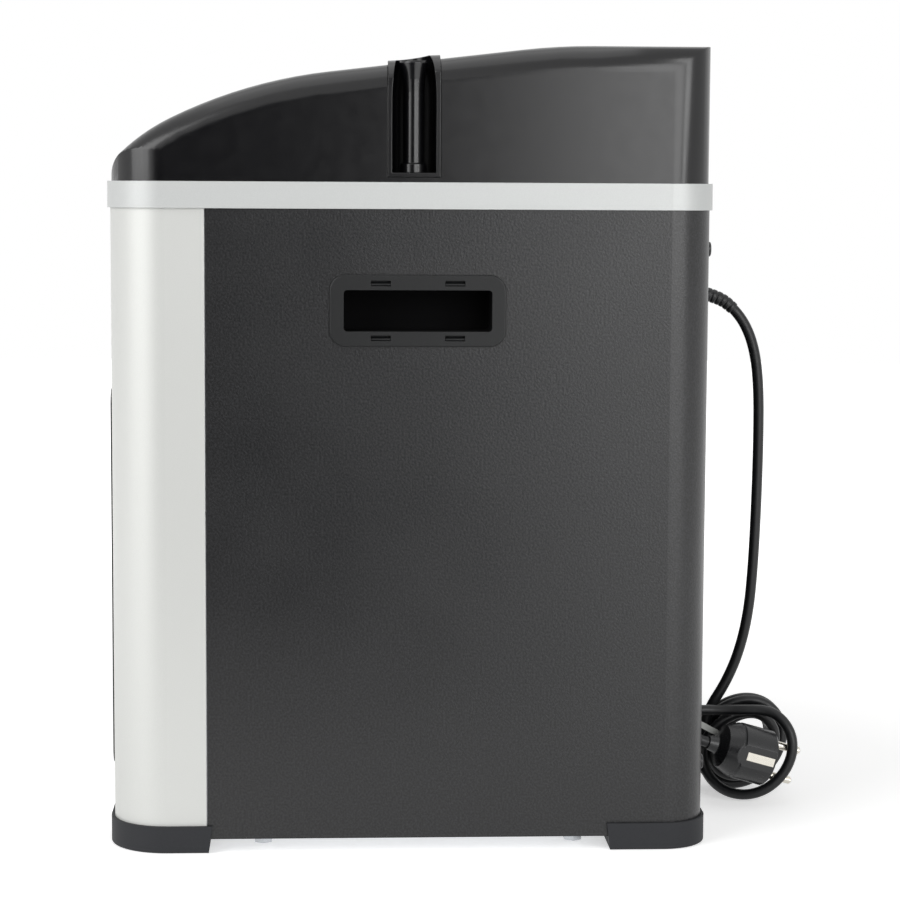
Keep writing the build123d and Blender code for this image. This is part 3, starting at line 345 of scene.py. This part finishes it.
def powder_coat():
    """Powder-coated steel sheet, sprayed and baked: pebbles of 1.2 mm that soften every highlight,
    with a painted highlight that colours their tops lighter."""
    material, tree, shader = new_material("powder_coat", "#1a1a1b", 0.34, Specular_IOR_Level=0.5)
    pebbles = grain(tree, 1.2, 3.0)
    bumped(tree, shader, pebbles.outputs["Fac"], 0.15, 0.6, 0.6)
    # Painted highlight: the pebbles' tops are coloured lighter than their hollows, as if lit
    painted_highlight_tops = add(tree, "ShaderNodeMapRange", {"Value": pebbles.outputs["Fac"]},
               **{"From Min": 0.38, "From Max": 0.66})
    tinted(tree, shader, painted_highlight_tops.outputs["Result"], "#09090a", "#222224")
    cloud = grain(tree, 60)
    varied(tree, shader, "Roughness", cloud.outputs["Fac"], 0.31, 0.36)
    return material


def silver_paint():
    """Silver-grey painted steel sheet, sprayed: pale and even, with a faint glint of flakes."""
    material, tree, shader = new_material("silver_paint", "#d0d1ce", 0.42, 0.2)
    flakes = grain(tree, 0.5)
    bumped(tree, shader, flakes.outputs["Fac"], 0.02, 0.3, 0.6)
    tinted(tree, shader, flakes.outputs["Fac"], "#cbccc9", "#d5d6d3")
    return material


def silver_moulding():
    """ABS trim, moulded and sprayed silver: satin, a little greyer than the sheet, with soft edges."""
    material, tree, shader = new_material("silver_moulding", "#c5c7c6", 0.42, 0.15)
    flakes = grain(tree, 0.6)
    bumped(tree, shader, flakes.outputs["Fac"], 0.02, 0.3, 0.5)
    tinted(tree, shader, flakes.outputs["Fac"], "#c0c2c1", "#cbcdcc")
    return material


def gloss_abs():
    """High-gloss black ABS, moulded in a polished tool: clear reflections that waver over 45 mm."""
    material, tree, shader = new_material("gloss_abs", "#08080a", 0.22, Specular_IOR_Level=0.5)
    waves = grain(tree, 45)
    bumped(tree, shader, waves.outputs["Fac"], 0.25, 0.03, 0.6)
    specks = grain(tree, 8)
    varied(tree, shader, "Roughness", specks.outputs["Fac"], 0.21, 0.24)
    return material


def satin_abs():
    """Black ABS, moulded in a fine spark-worn tool: satin, with a grain that breaks reflections up."""
    material, tree, shader = new_material("satin_abs", "#111213", 0.42, Specular_IOR_Level=0.35)
    pits = grain(tree, 0.8)
    bumped(tree, shader, pits.outputs["Fac"], 0.05, 0.4, 0.4)
    varied(tree, shader, "Roughness", pits.outputs["Fac"], 0.38, 0.48)
    return material


def foot_moulding():
    """Polypropylene foot, moulded in a blasted tool: matt charcoal, lighter than the cover."""
    material, tree, shader = new_material("foot_moulding", "#26272a", 0.66, Specular_IOR_Level=0.3)
    pits = grain(tree, 0.9)
    bumped(tree, shader, pits.outputs["Fac"], 0.06, 0.4, 0.5)
    tinted(tree, shader, pits.outputs["Fac"], "#232427", "#2c2d30")
    return material


def cord_sheath():
    """Soft PVC sheath, extruded: black with a satin sheen and faint marks of the die."""
    material, tree, shader = new_material("cord_sheath", "#0d0e10", 0.42, Specular_IOR_Level=0.4)
    marks = grain(tree, 2.5)
    bumped(tree, shader, marks.outputs["Fac"], 0.05, 0.15)
    varied(tree, shader, "Roughness", marks.outputs["Fac"], 0.36, 0.46)
    return material


def plug_moulding():
    """Plug of hard PVC, moulded: dark grey, semi-gloss."""
    material, tree, shader = new_material("plug_moulding", "#17181a", 0.32)
    pits = grain(tree, 1.2)
    bumped(tree, shader, pits.outputs["Fac"], 0.04, 0.25, 0.6)
    varied(tree, shader, "Roughness", pits.outputs["Fac"], 0.26, 0.34)
    return material


def plain_metal(name, color, roughness, grain_mm):
    """Bare metal with fine marks from its making."""
    material, tree, shader = new_material(name, color, roughness, 1.0)
    marks = grain(tree, grain_mm)
    bumped(tree, shader, marks.outputs["Fac"], 0.02, 0.3)
    varied(tree, shader, "Roughness", marks.outputs["Fac"], roughness - 0.06, roughness + 0.08)
    return material


def plain_moulding(name, color, roughness, grain_mm, depth_mm=0.05):
    """Moulded, foamed or coated stuff of one colour with grains of a real size."""
    material, tree, shader = new_material(name, color, roughness)
    marks = grain(tree, grain_mm)
    bumped(tree, shader, marks.outputs["Fac"], depth_mm, 0.5)
    varied(tree, shader, "Roughness", marks.outputs["Fac"], roughness - 0.05, roughness + 0.05)
    return material


def smoked_window():
    """Smoked acrylic window, moulded: dark and glossy over the display."""
    material, tree, shader = new_material("smoked_window", "#0c0d10", 0.06, Coat_Weight=0.5)
    waves = grain(tree, 30)
    bumped(tree, shader, waves.outputs["Fac"], 0.1, 0.05, 0.3)
    return material


def lit_segment():
    """Display film, printed and lit from behind: cool white, a little uneven."""
    material, tree, shader = new_material("lit_segment", "#8fa4ad", 0.3, Emission_Color=linear("#c9efff"),
                                          Emission_Strength=0.7)
    glow = grain(tree, 2.0)
    varied(tree, shader, "Roughness", glow.outputs["Fac"], 0.25, 0.4)
    return material


finishes = {
    "dark_steel": powder_coat(),
    "silver_panel": silver_paint(),
    "silver_trim": silver_moulding(),
    "gloss_black": gloss_abs(),
    "satin_black": satin_abs(),
    "foot_plastic": foot_moulding(),
    "cord_pvc": cord_sheath(),
    "plug_plastic": plug_moulding(),
    # Bright and cool, slightly clouded by the plating bath
    "steel": plain_metal("zinc_plated_steel", "#b9bcc0", 0.32, 0.8),
    # Warm and bright, stamped and plated: small sharp highlights
    "nickel": plain_metal("nickel_plated_brass", "#d6d2c8", 0.22, 0.6),
    # Drawn tube: salmon red, softly clouded by handling
    "copper": plain_metal("drawn_copper", "#c9825c", 0.30, 1.0),
    # Rolled thin sheet: pale grey, broad highlights
    "fins": plain_metal("aluminium_fin_sheet", "#c9ccd0", 0.38, 1.5),
    # Dipped enamel: black, with a slow waviness of 6 mm
    "black_paint": plain_moulding("black_enamel", "#151617", 0.30, 6.0, 0.2),
    # Extruded closed-cell foam: dull charcoal with a fine skin
    "foam": plain_moulding("elastomer_foam", "#232427", 0.85, 1.2, 0.3),
    # Open foam of 1.6 mm cells: dull and pitted
    "filter_foam": plain_moulding("open_cell_foam", "#2b2d30", 0.9, 1.6, 0.8),
    # Blow-moulded: milky white, waxy
    "water_plastic": plain_moulding("polyethylene", "#d9dce0", 0.45, 4.0),
    # Pressed rubber: black, dull
    "rubber": plain_moulding("black_rubber", "#1b1b1c", 0.7, 1.0),
    # Extruded strip over a wire: off-white, satin
    "tie_wire": plain_moulding("pvc_tie_strip", "#c8cac6", 0.5, 1.5),
    "window": smoked_window(),
    # Etched board under solder mask: green, satin
    "board": plain_moulding("epoxy_board", "#1f4a35", 0.45, 2.0),
}


def dress(cord_pieces):
    """Gives each part of the frame, and the cord's pieces, the finish of its slot."""
    slots = {part["node"]: part["material_slot"] for part in frame["record"]["subparts"]}
    for name, node in nodes.items():
        finish = finishes[slots[name]]
        if not node.material_slots:
            node.data.materials.append(finish)
        for slot in node.material_slots:
            slot.material = finish
    for piece in cord_pieces:
        piece.data.materials.append(finishes["cord_pvc"])


# Copies that take a solid's place, and what sits in them

def painted_pocket_shade():
    """Painted shade for a grip's pocket: the same moulded ABS coloured dead black, as hardly any light
    returns from deep inside.
    """
    material, tree, shader = new_material("painted_pocket_shade_abs", "#050506", 0.8, Specular_IOR_Level=0.1)
    pits = grain(tree, 0.8)
    bumped(tree, shader, pits.outputs["Fac"], 0.05, 0.4)
    return material


def own_copy(node_name, name, weld=False):
    """A copy of a node's mesh as a piece of its own, in the node's place."""
    node = nodes[node_name]
    mesh = node.data.copy()
    if weld:
        skin = bmesh.new()
        skin.from_mesh(mesh)
        bmesh.ops.remove_doubles(skin, verts=skin.verts, dist=weld_gap * MM)
        mesh = bpy.data.meshes.new(name)
        mesh.materials.append(node.material_slots[0].material)
        skin.to_mesh(mesh)
        skin.free()
        for face in mesh.polygons:
            face.use_smooth = True
        mesh.set_sharp_from_angle(angle=math.radians(crease))
    piece = bpy.data.objects.new(name, mesh)
    bpy.context.scene.collection.objects.link(piece)
    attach(piece, "casing")
    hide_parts(node_name)
    return piece


def even_normals(piece):
    """Shades flat faces flat and fillets round, by the size of the faces."""
    weighted = piece.modifiers.new("even_normals", "WEIGHTED_NORMAL")
    weighted.keep_sharp = True
    weighted.weight = 100      # a large face sets the direction at its corners


def add_cover():
    cover = own_copy("top_cover", "cover_shell", weld=True)
    even_normals(cover)


def add_grip(side, word, pocket_shade_finish):
    """The grip, its pocket's inside given painted shade, darker than the bezel."""
    grip = own_copy("side_grip_" + word, "grip_" + word)
    grip.data.materials.append(pocket_shade_finish)
    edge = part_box("wrap_panel")[1][0] - pocket_behind * MM
    for face in grip.data.polygons:
        if side * face.center.x < edge:
            face.material_index = len(grip.data.materials) - 1


def add_tongues(side, word):
    """The snap tongues that fill the four slots of a grip's bezel."""
    low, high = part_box("side_grip_" + word)
    middle = (low + high) / 2
    bezel = max(abs(low.x), abs(high.x))
    skin = bmesh.new()
    for y in (-snap_y, snap_y):
        for z in (-snap_z, snap_z):
            ends = []
            for end in (-snap_l / 2, snap_l / 2):
                ends.append([skin.verts.new((side * (bezel + out * MM), middle.y + (y + end) * MM,
                                             middle.z + (z + up) * MM)) for out, up in tongue_section])
            for k in range(len(tongue_section)):
                n = (k + 1) % len(tongue_section)
                skin.faces.new((ends[0][k], ends[0][n], ends[1][n], ends[1][k]))
            skin.faces.new(ends[0])
            skin.faces.new(ends[1])
    bmesh.ops.recalc_face_normals(skin, faces=skin.faces)
    tongues = link_mesh("grip_tongues_" + word, skin, smooth=False)
    tongues.data.materials.append(finishes["satin_black"])
    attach(tongues, "casing")


def add_bay(word):
    """The hose bay, whose mouth narrows in two rounded shoulders towards its top."""
    bay = own_copy("hose_bay_" + word, "bay_" + word, weld=True)
    low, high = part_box("hose_bay_" + word)
    middle_y = (low.y + high.y) / 2
    top = high.z / MM
    skin = bmesh.new()
    skin.from_mesh(bay.data)
    for k in range(1, shoulder_cuts):
        level = (shoulder_from + (top - shoulder_from) * k / shoulder_cuts) * MM
        everything = skin.verts[:] + skin.edges[:] + skin.faces[:]
        bmesh.ops.bisect_plane(skin, geom=everything, plane_co=(0, 0, level), plane_no=(0, 0, 1),
                               dist=cut_slack * MM)
    for vert in skin.verts:
        across = vert.co.y - middle_y
        rise = (vert.co.z / MM - shoulder_from) / (top - shoulder_from)
        if rise > 0 and abs(across) < (bay_half + bay_slack) * MM:
            narrower = shoulder_in * (1 - math.sqrt(max(0.0, 1 - rise * rise)))
            vert.co.y = middle_y + across * (1 - narrower / bay_half)
    skin.to_mesh(bay.data)
    skin.free()
    bay.data.set_sharp_from_angle(angle=math.radians(crease))
    even_normals(bay)


# Display and keys

def bar(x, y, length, upright=False):
    """Outline of one lit segment, pointed at both ends."""
    end, side = length / 2, digit_t / 2
    points = [(-end, 0), (-end + side, side), (end - side, side),
              (end, 0), (end - side, -side), (-end + side, -side)]
    if upright:
        points = [(-b, a) for a, b in points]
    return [(x + a, y + b) for a, b in points]


def digit(segments, x):
    """Outlines of a seven-segment figure round x, from the letters of its lit segments."""
    wide, half_high = digit_w - digit_t, (digit_h - digit_t) / 2
    left, right, low, high = x - wide / 2, x + wide / 2, -half_high / 2, half_high / 2
    short, tall = wide - segment_gap, half_high - segment_gap
    bars = {"a": (x, half_high, short), "g": (x, 0, short), "d": (x, -half_high, short),
            "b": (right, high, tall), "c": (right, low, tall),
            "e": (left, low, tall), "f": (left, high, tall)}
    return [bar(*bars[letter], upright=letter in "bcef") for letter in segments]


def arc(radius, first, last, steps=24):
    """Points along an arc between two angles in degrees."""
    angles = [math.radians(first + (last - first) * k / steps) for k in range(steps + 1)]
    return [(radius * math.cos(a), radius * math.sin(a)) for a in angles]


def panel_directions():
    """Right, up the slope and out of the sloping control panel."""
    slope = math.radians(desk_slope)
    right, up = Vector((1, 0, 0)), Vector((0, math.cos(slope), math.sin(slope)))
    return right, up, right.cross(up)


def raised(name, outlines, middle, body, finish):
    """Thin raised figures on the control panel, from outlines in millimetres round a point."""
    right, up, out = panel_directions()
    film = bmesh.new()
    for outline in outlines:
        base = [film.verts.new(middle + (a * right + b * up) * MM) for a, b in outline]
        top = [film.verts.new(v.co + out * print_t * MM) for v in base]
        for k in range(len(base)):
            n = (k + 1) % len(base)
            film.faces.new((base[k], base[n], top[n], top[k]))
        film.faces.new(top)
        film.faces.new(base[::-1])
    bmesh.ops.recalc_face_normals(film, faces=film.faces)
    piece = link_mesh(name, film, smooth=False)
    piece.data.materials.append(finish)
    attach(piece, body)


def window_top():
    """Middle of the window's upper face, from its box: a plate on a slope of known angle."""
    slope = math.radians(desk_slope)
    low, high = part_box("display_window")
    long_y, tall_z = high.y - low.y, high.z - low.z
    thick = (tall_z * math.cos(slope) - long_y * math.sin(slope)) / math.cos(2 * slope)
    return (low + high) / 2 + panel_directions()[2] * thick / 2


def add_figures():
    """Lit figures on the display: 21.5."""
    figures = digit("abged", -digit_step) + digit("bc", 0) + digit("afgcd", digit_step)
    x, y = digit_step / 2, -digit_h / 2 + point_up
    figures.append([(x + a, y + b) for a, b in arc(point_r, 0, 345, 23)])    # 24 corners
    raised("display_figures", figures, window_top(), "casing", lit_segment())


def add_signs():
    """A sign on each key: a ring with a stem, an arrow down and an arrow up."""
    ring = arc(ring_r, *ring_open) + arc(ring_inner_r, *ring_open[::-1])
    stem = [(-stem_half, stem_low), (stem_half, stem_low), (stem_half, stem_top), (-stem_half, stem_top)]
    down = [(-arrow_half, arrow_foot), (0, -arrow_tip), (arrow_half, arrow_foot)]
    up = [(-arrow_half, -arrow_foot), (arrow_half, -arrow_foot), (0, arrow_tip)]
    # Pad-printed ink: pale grey, matt
    ink = plain_moulding("printed_ink", "#cfd2d3", 0.5, 0.5, 0.01)
    window, out = window_top(), panel_directions()[2]
    for word, outlines in {"power": [ring, stem], "down": [down], "up": [up]}.items():
        place = window + Vector((key_x[word] * MM - window.x, 0, 0)) + out * key_proud * MM
        raised("sign_" + word, outlines, place, word + "_button", ink)


# Floor, light and background

def seen_or_mirrored(tree):
    """1 for rays that show the background: straight, in a reflection or through glass."""
    path = add(tree, "ShaderNodeLightPath")
    seen = add(tree, "ShaderNodeMath", {0: path.outputs["Is Camera Ray"], 1: path.outputs["Is Glossy Ray"]},
               operation="MAXIMUM")
    seen = add(tree, "ShaderNodeMath", {0: seen.outputs[0], 1: path.outputs["Is Transmission Ray"]},
               operation="MAXIMUM")
    return seen.outputs[0]


def pale_floor():
    """Matt white board that fades into the page's white away from the object."""
    material, tree, shader = new_material("white_board", "#f4f4f4", 0.9, Specular_IOR_Level=0.0,
                                          Emission_Color=(1, 1, 1, 1))
    seen = seen_or_mirrored(tree)
    place = add(tree, "ShaderNodeTexCoord")
    away = add(tree, "ShaderNodeVectorMath", {0: place.outputs["Object"]}, operation="LENGTH")
    far = add(tree, "ShaderNodeMapRange", {"Value": away.outputs["Value"]},
              **{"From Min": lift_from, "From Max": lift_to, "To Min": lift_near, "To Max": 1.0})
    lift = add(tree, "ShaderNodeMath", {0: seen, 1: far.outputs["Result"]}, operation="MULTIPLY")
    tree.links.new(lift.outputs[0], shader.inputs["Emission Strength"])
    return material


def add_floor():
    disc = bmesh.new()
    bmesh.ops.create_circle(disc, cap_ends=True, radius=floor_r, segments=96)
    floor = link_mesh("floor", disc, smooth=False)
    floor.location.z = -floor_drop
    floor.data.materials.append(pale_floor())


def add_lamp(name, place, target, width, height, power):
    data = bpy.data.lights.new(name, "AREA")
    data.shape = "RECTANGLE"
    data.size, data.size_y = width, height
    data.energy = power
    lamp = bpy.data.objects.new(name, data)
    lamp.location = place
    aim = Vector(target) - Vector(place)
    lamp.rotation_euler = aim.to_track_quat("-Z", "Y").to_euler()
    bpy.context.scene.collection.objects.link(lamp)


def add_curtain(name, corners, grey):
    """Grey cloth hung beside the camera, so that gloss has something dark to mirror. No camera sees it."""
    cloth = bmesh.new()
    cloth.faces.new([cloth.verts.new(c) for c in corners])
    curtain = link_mesh(name, cloth, smooth=False)
    curtain.data.materials.append(new_material(name, grey, 1.0, Specular_IOR_Level=0.0)[0])
    curtain.visible_camera = False
    curtain.visible_shadow = False


def set_world():
    world = bpy.data.worlds.new("studio")
    bpy.context.scene.world = world
    world.use_nodes = True
    tree = world.node_tree
    out = tree.nodes["World Output"]
    room = tree.nodes["Background"]
    room.inputs["Color"].default_value = linear("#f6f6f5")
    room.inputs["Strength"].default_value = room_light
    page = add(tree, "ShaderNodeBackground", Color=(1, 1, 1, 1), Strength=1.0)
    mix = add(tree, "ShaderNodeMixShader",
              {0: seen_or_mirrored(tree), 1: room.outputs[0], 2: page.outputs[0]})
    tree.links.new(mix.outputs[0], out.inputs["Surface"])


# The scene, piece by piece

set_camera()
cord, cord_line = add_cord()
relief = add_relief(cord_line)

dress([cord, relief])
add_cover()
# Painted shade: a dead black finish for the inside of the grips' pockets
pocket_shade_finish = painted_pocket_shade()
for side, word in ((1, "right"), (-1, "left")):
    add_grip(side, word, pocket_shade_finish)
    add_tongues(side, word)
    add_bay(word)
add_figures()
add_signs()

add_floor()
front, rear = curtain_y
add_curtain("curtain_back", [(curtain_x, front, 0), (curtain_x, rear, 0), (curtain_x, rear, curtain_top),
                             (curtain_x, front, curtain_top)], "#5a5a5c")
add_curtain("curtain_floor", [(mat_x, mat_y[0], mat_z), (curtain_x, front, mat_z), (curtain_x, rear, mat_z),
                              (mat_x, mat_y[1], mat_z)], "#4a4a4c")

# Lamps: place, target, width and height in metres, then watts
add_lamp("key", (1.1, -1.45, 1.1), (0, 0, 0.35), 1.3, 1.7, 24)
add_lamp("fill", (2.1, 0.74, 0.7), (0, 0.1, 0.35), 0.9, 1.2, 12.5)
add_lamp("rear", (1.62, 1.35, 0.75), (0, 0.1, 0.3), 0.3, 1.2, 7)
add_lamp("over", (0, 0, 2.2), (0, 0, 0), 1.8, 1.8, 7)
set_world()

bpy.context.scene.view_settings.view_transform = "Standard"

bpy.context.view_layer.update()
